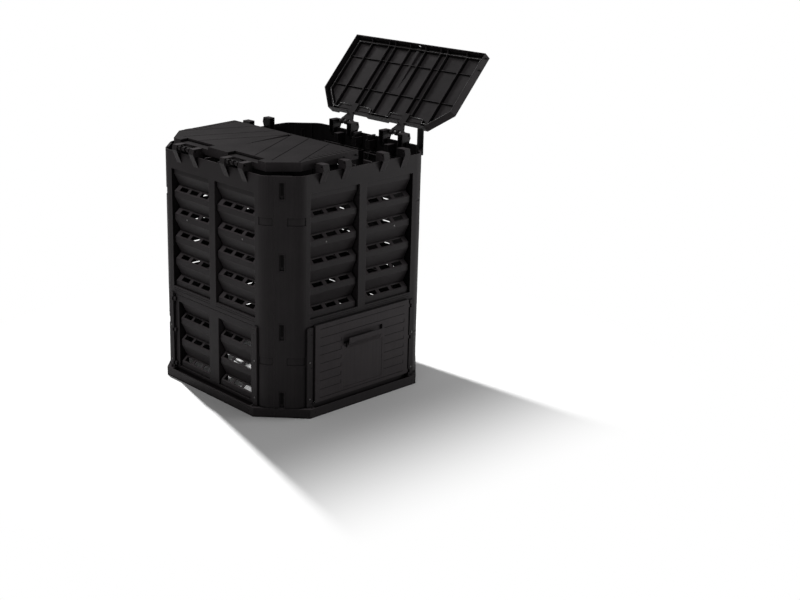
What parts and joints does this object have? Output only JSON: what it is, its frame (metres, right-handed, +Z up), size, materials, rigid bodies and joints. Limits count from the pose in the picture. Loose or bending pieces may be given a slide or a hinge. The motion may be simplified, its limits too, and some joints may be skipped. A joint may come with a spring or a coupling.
{
  "type": "compost bin",
  "caption": "Octagonal black plastic compost bin with louvred walls on a skirt, a sliding hatch with a handle in the front, and a two-flap hinged lid, one flap open.",
  "frame": {"origin": "on the ground, in the middle of the ring of walls", "axes": "+Z up; -Y is the way the wall with the hatch faces; the flap hinges run along Y, the closed flap is on -X and the open one on +X"},
  "size_m": [0.9444, 0.7218, 1.0645],
  "materials": {
    "panel_plastic": "matt moulded recycled plastic with fine vertical flow streaks",
    "lid_plastic": "matt moulded recycled plastic with faint cloudy patches",
    "fitting_plastic": "satin moulded plastic"
  },
  "bodies": {
    "bin": {"wall_front": "panel_plastic", "wall_left": "panel_plastic", "wall_back": "panel_plastic", "wall_right": "panel_plastic", "louvre_insert_left": "panel_plastic", "louvre_insert_back": "panel_plastic", "louvre_insert_right": "panel_plastic", "hinge_pins_left": "fitting_plastic", "hinge_pins_right": "fitting_plastic", "panel_clips_front_left": "fitting_plastic", "panel_clips_back_left": "fitting_plastic", "panel_clips_back_right": "fitting_plastic", "panel_clips_front_right": "fitting_plastic", "corner_upright": "panel_plastic"},
    "left_flap": {"lid_flap_left": "lid_plastic", "hinge_arm_left_front": "fitting_plastic", "hinge_arm_left_back": "fitting_plastic"},
    "right_flap": {"lid_flap_right": "lid_plastic", "hinge_arm_right_front": "fitting_plastic", "hinge_arm_right_back": "fitting_plastic"},
    "hatch": {"sliding_hatch": "panel_plastic"}
  },
  "joints": [
    {"name": "left_lid_hinge", "type": "hinge", "parent": "bin", "child": "left_flap", "pos_m": [-0.346, 0, 0.796], "axis": [0, -1, 0], "range_deg": [0, 130]},
    {"name": "right_lid_hinge", "type": "hinge", "parent": "bin", "child": "right_flap", "pos_m": [0.346, 0, 0.796], "axis": [0, -1, 0], "range_deg": [0, 130]},
    {"name": "hatch_slide", "type": "slide", "parent": "bin", "child": "hatch", "axis": [0, 0, 1], "range_m": [0, 0.2]}
  ]
}
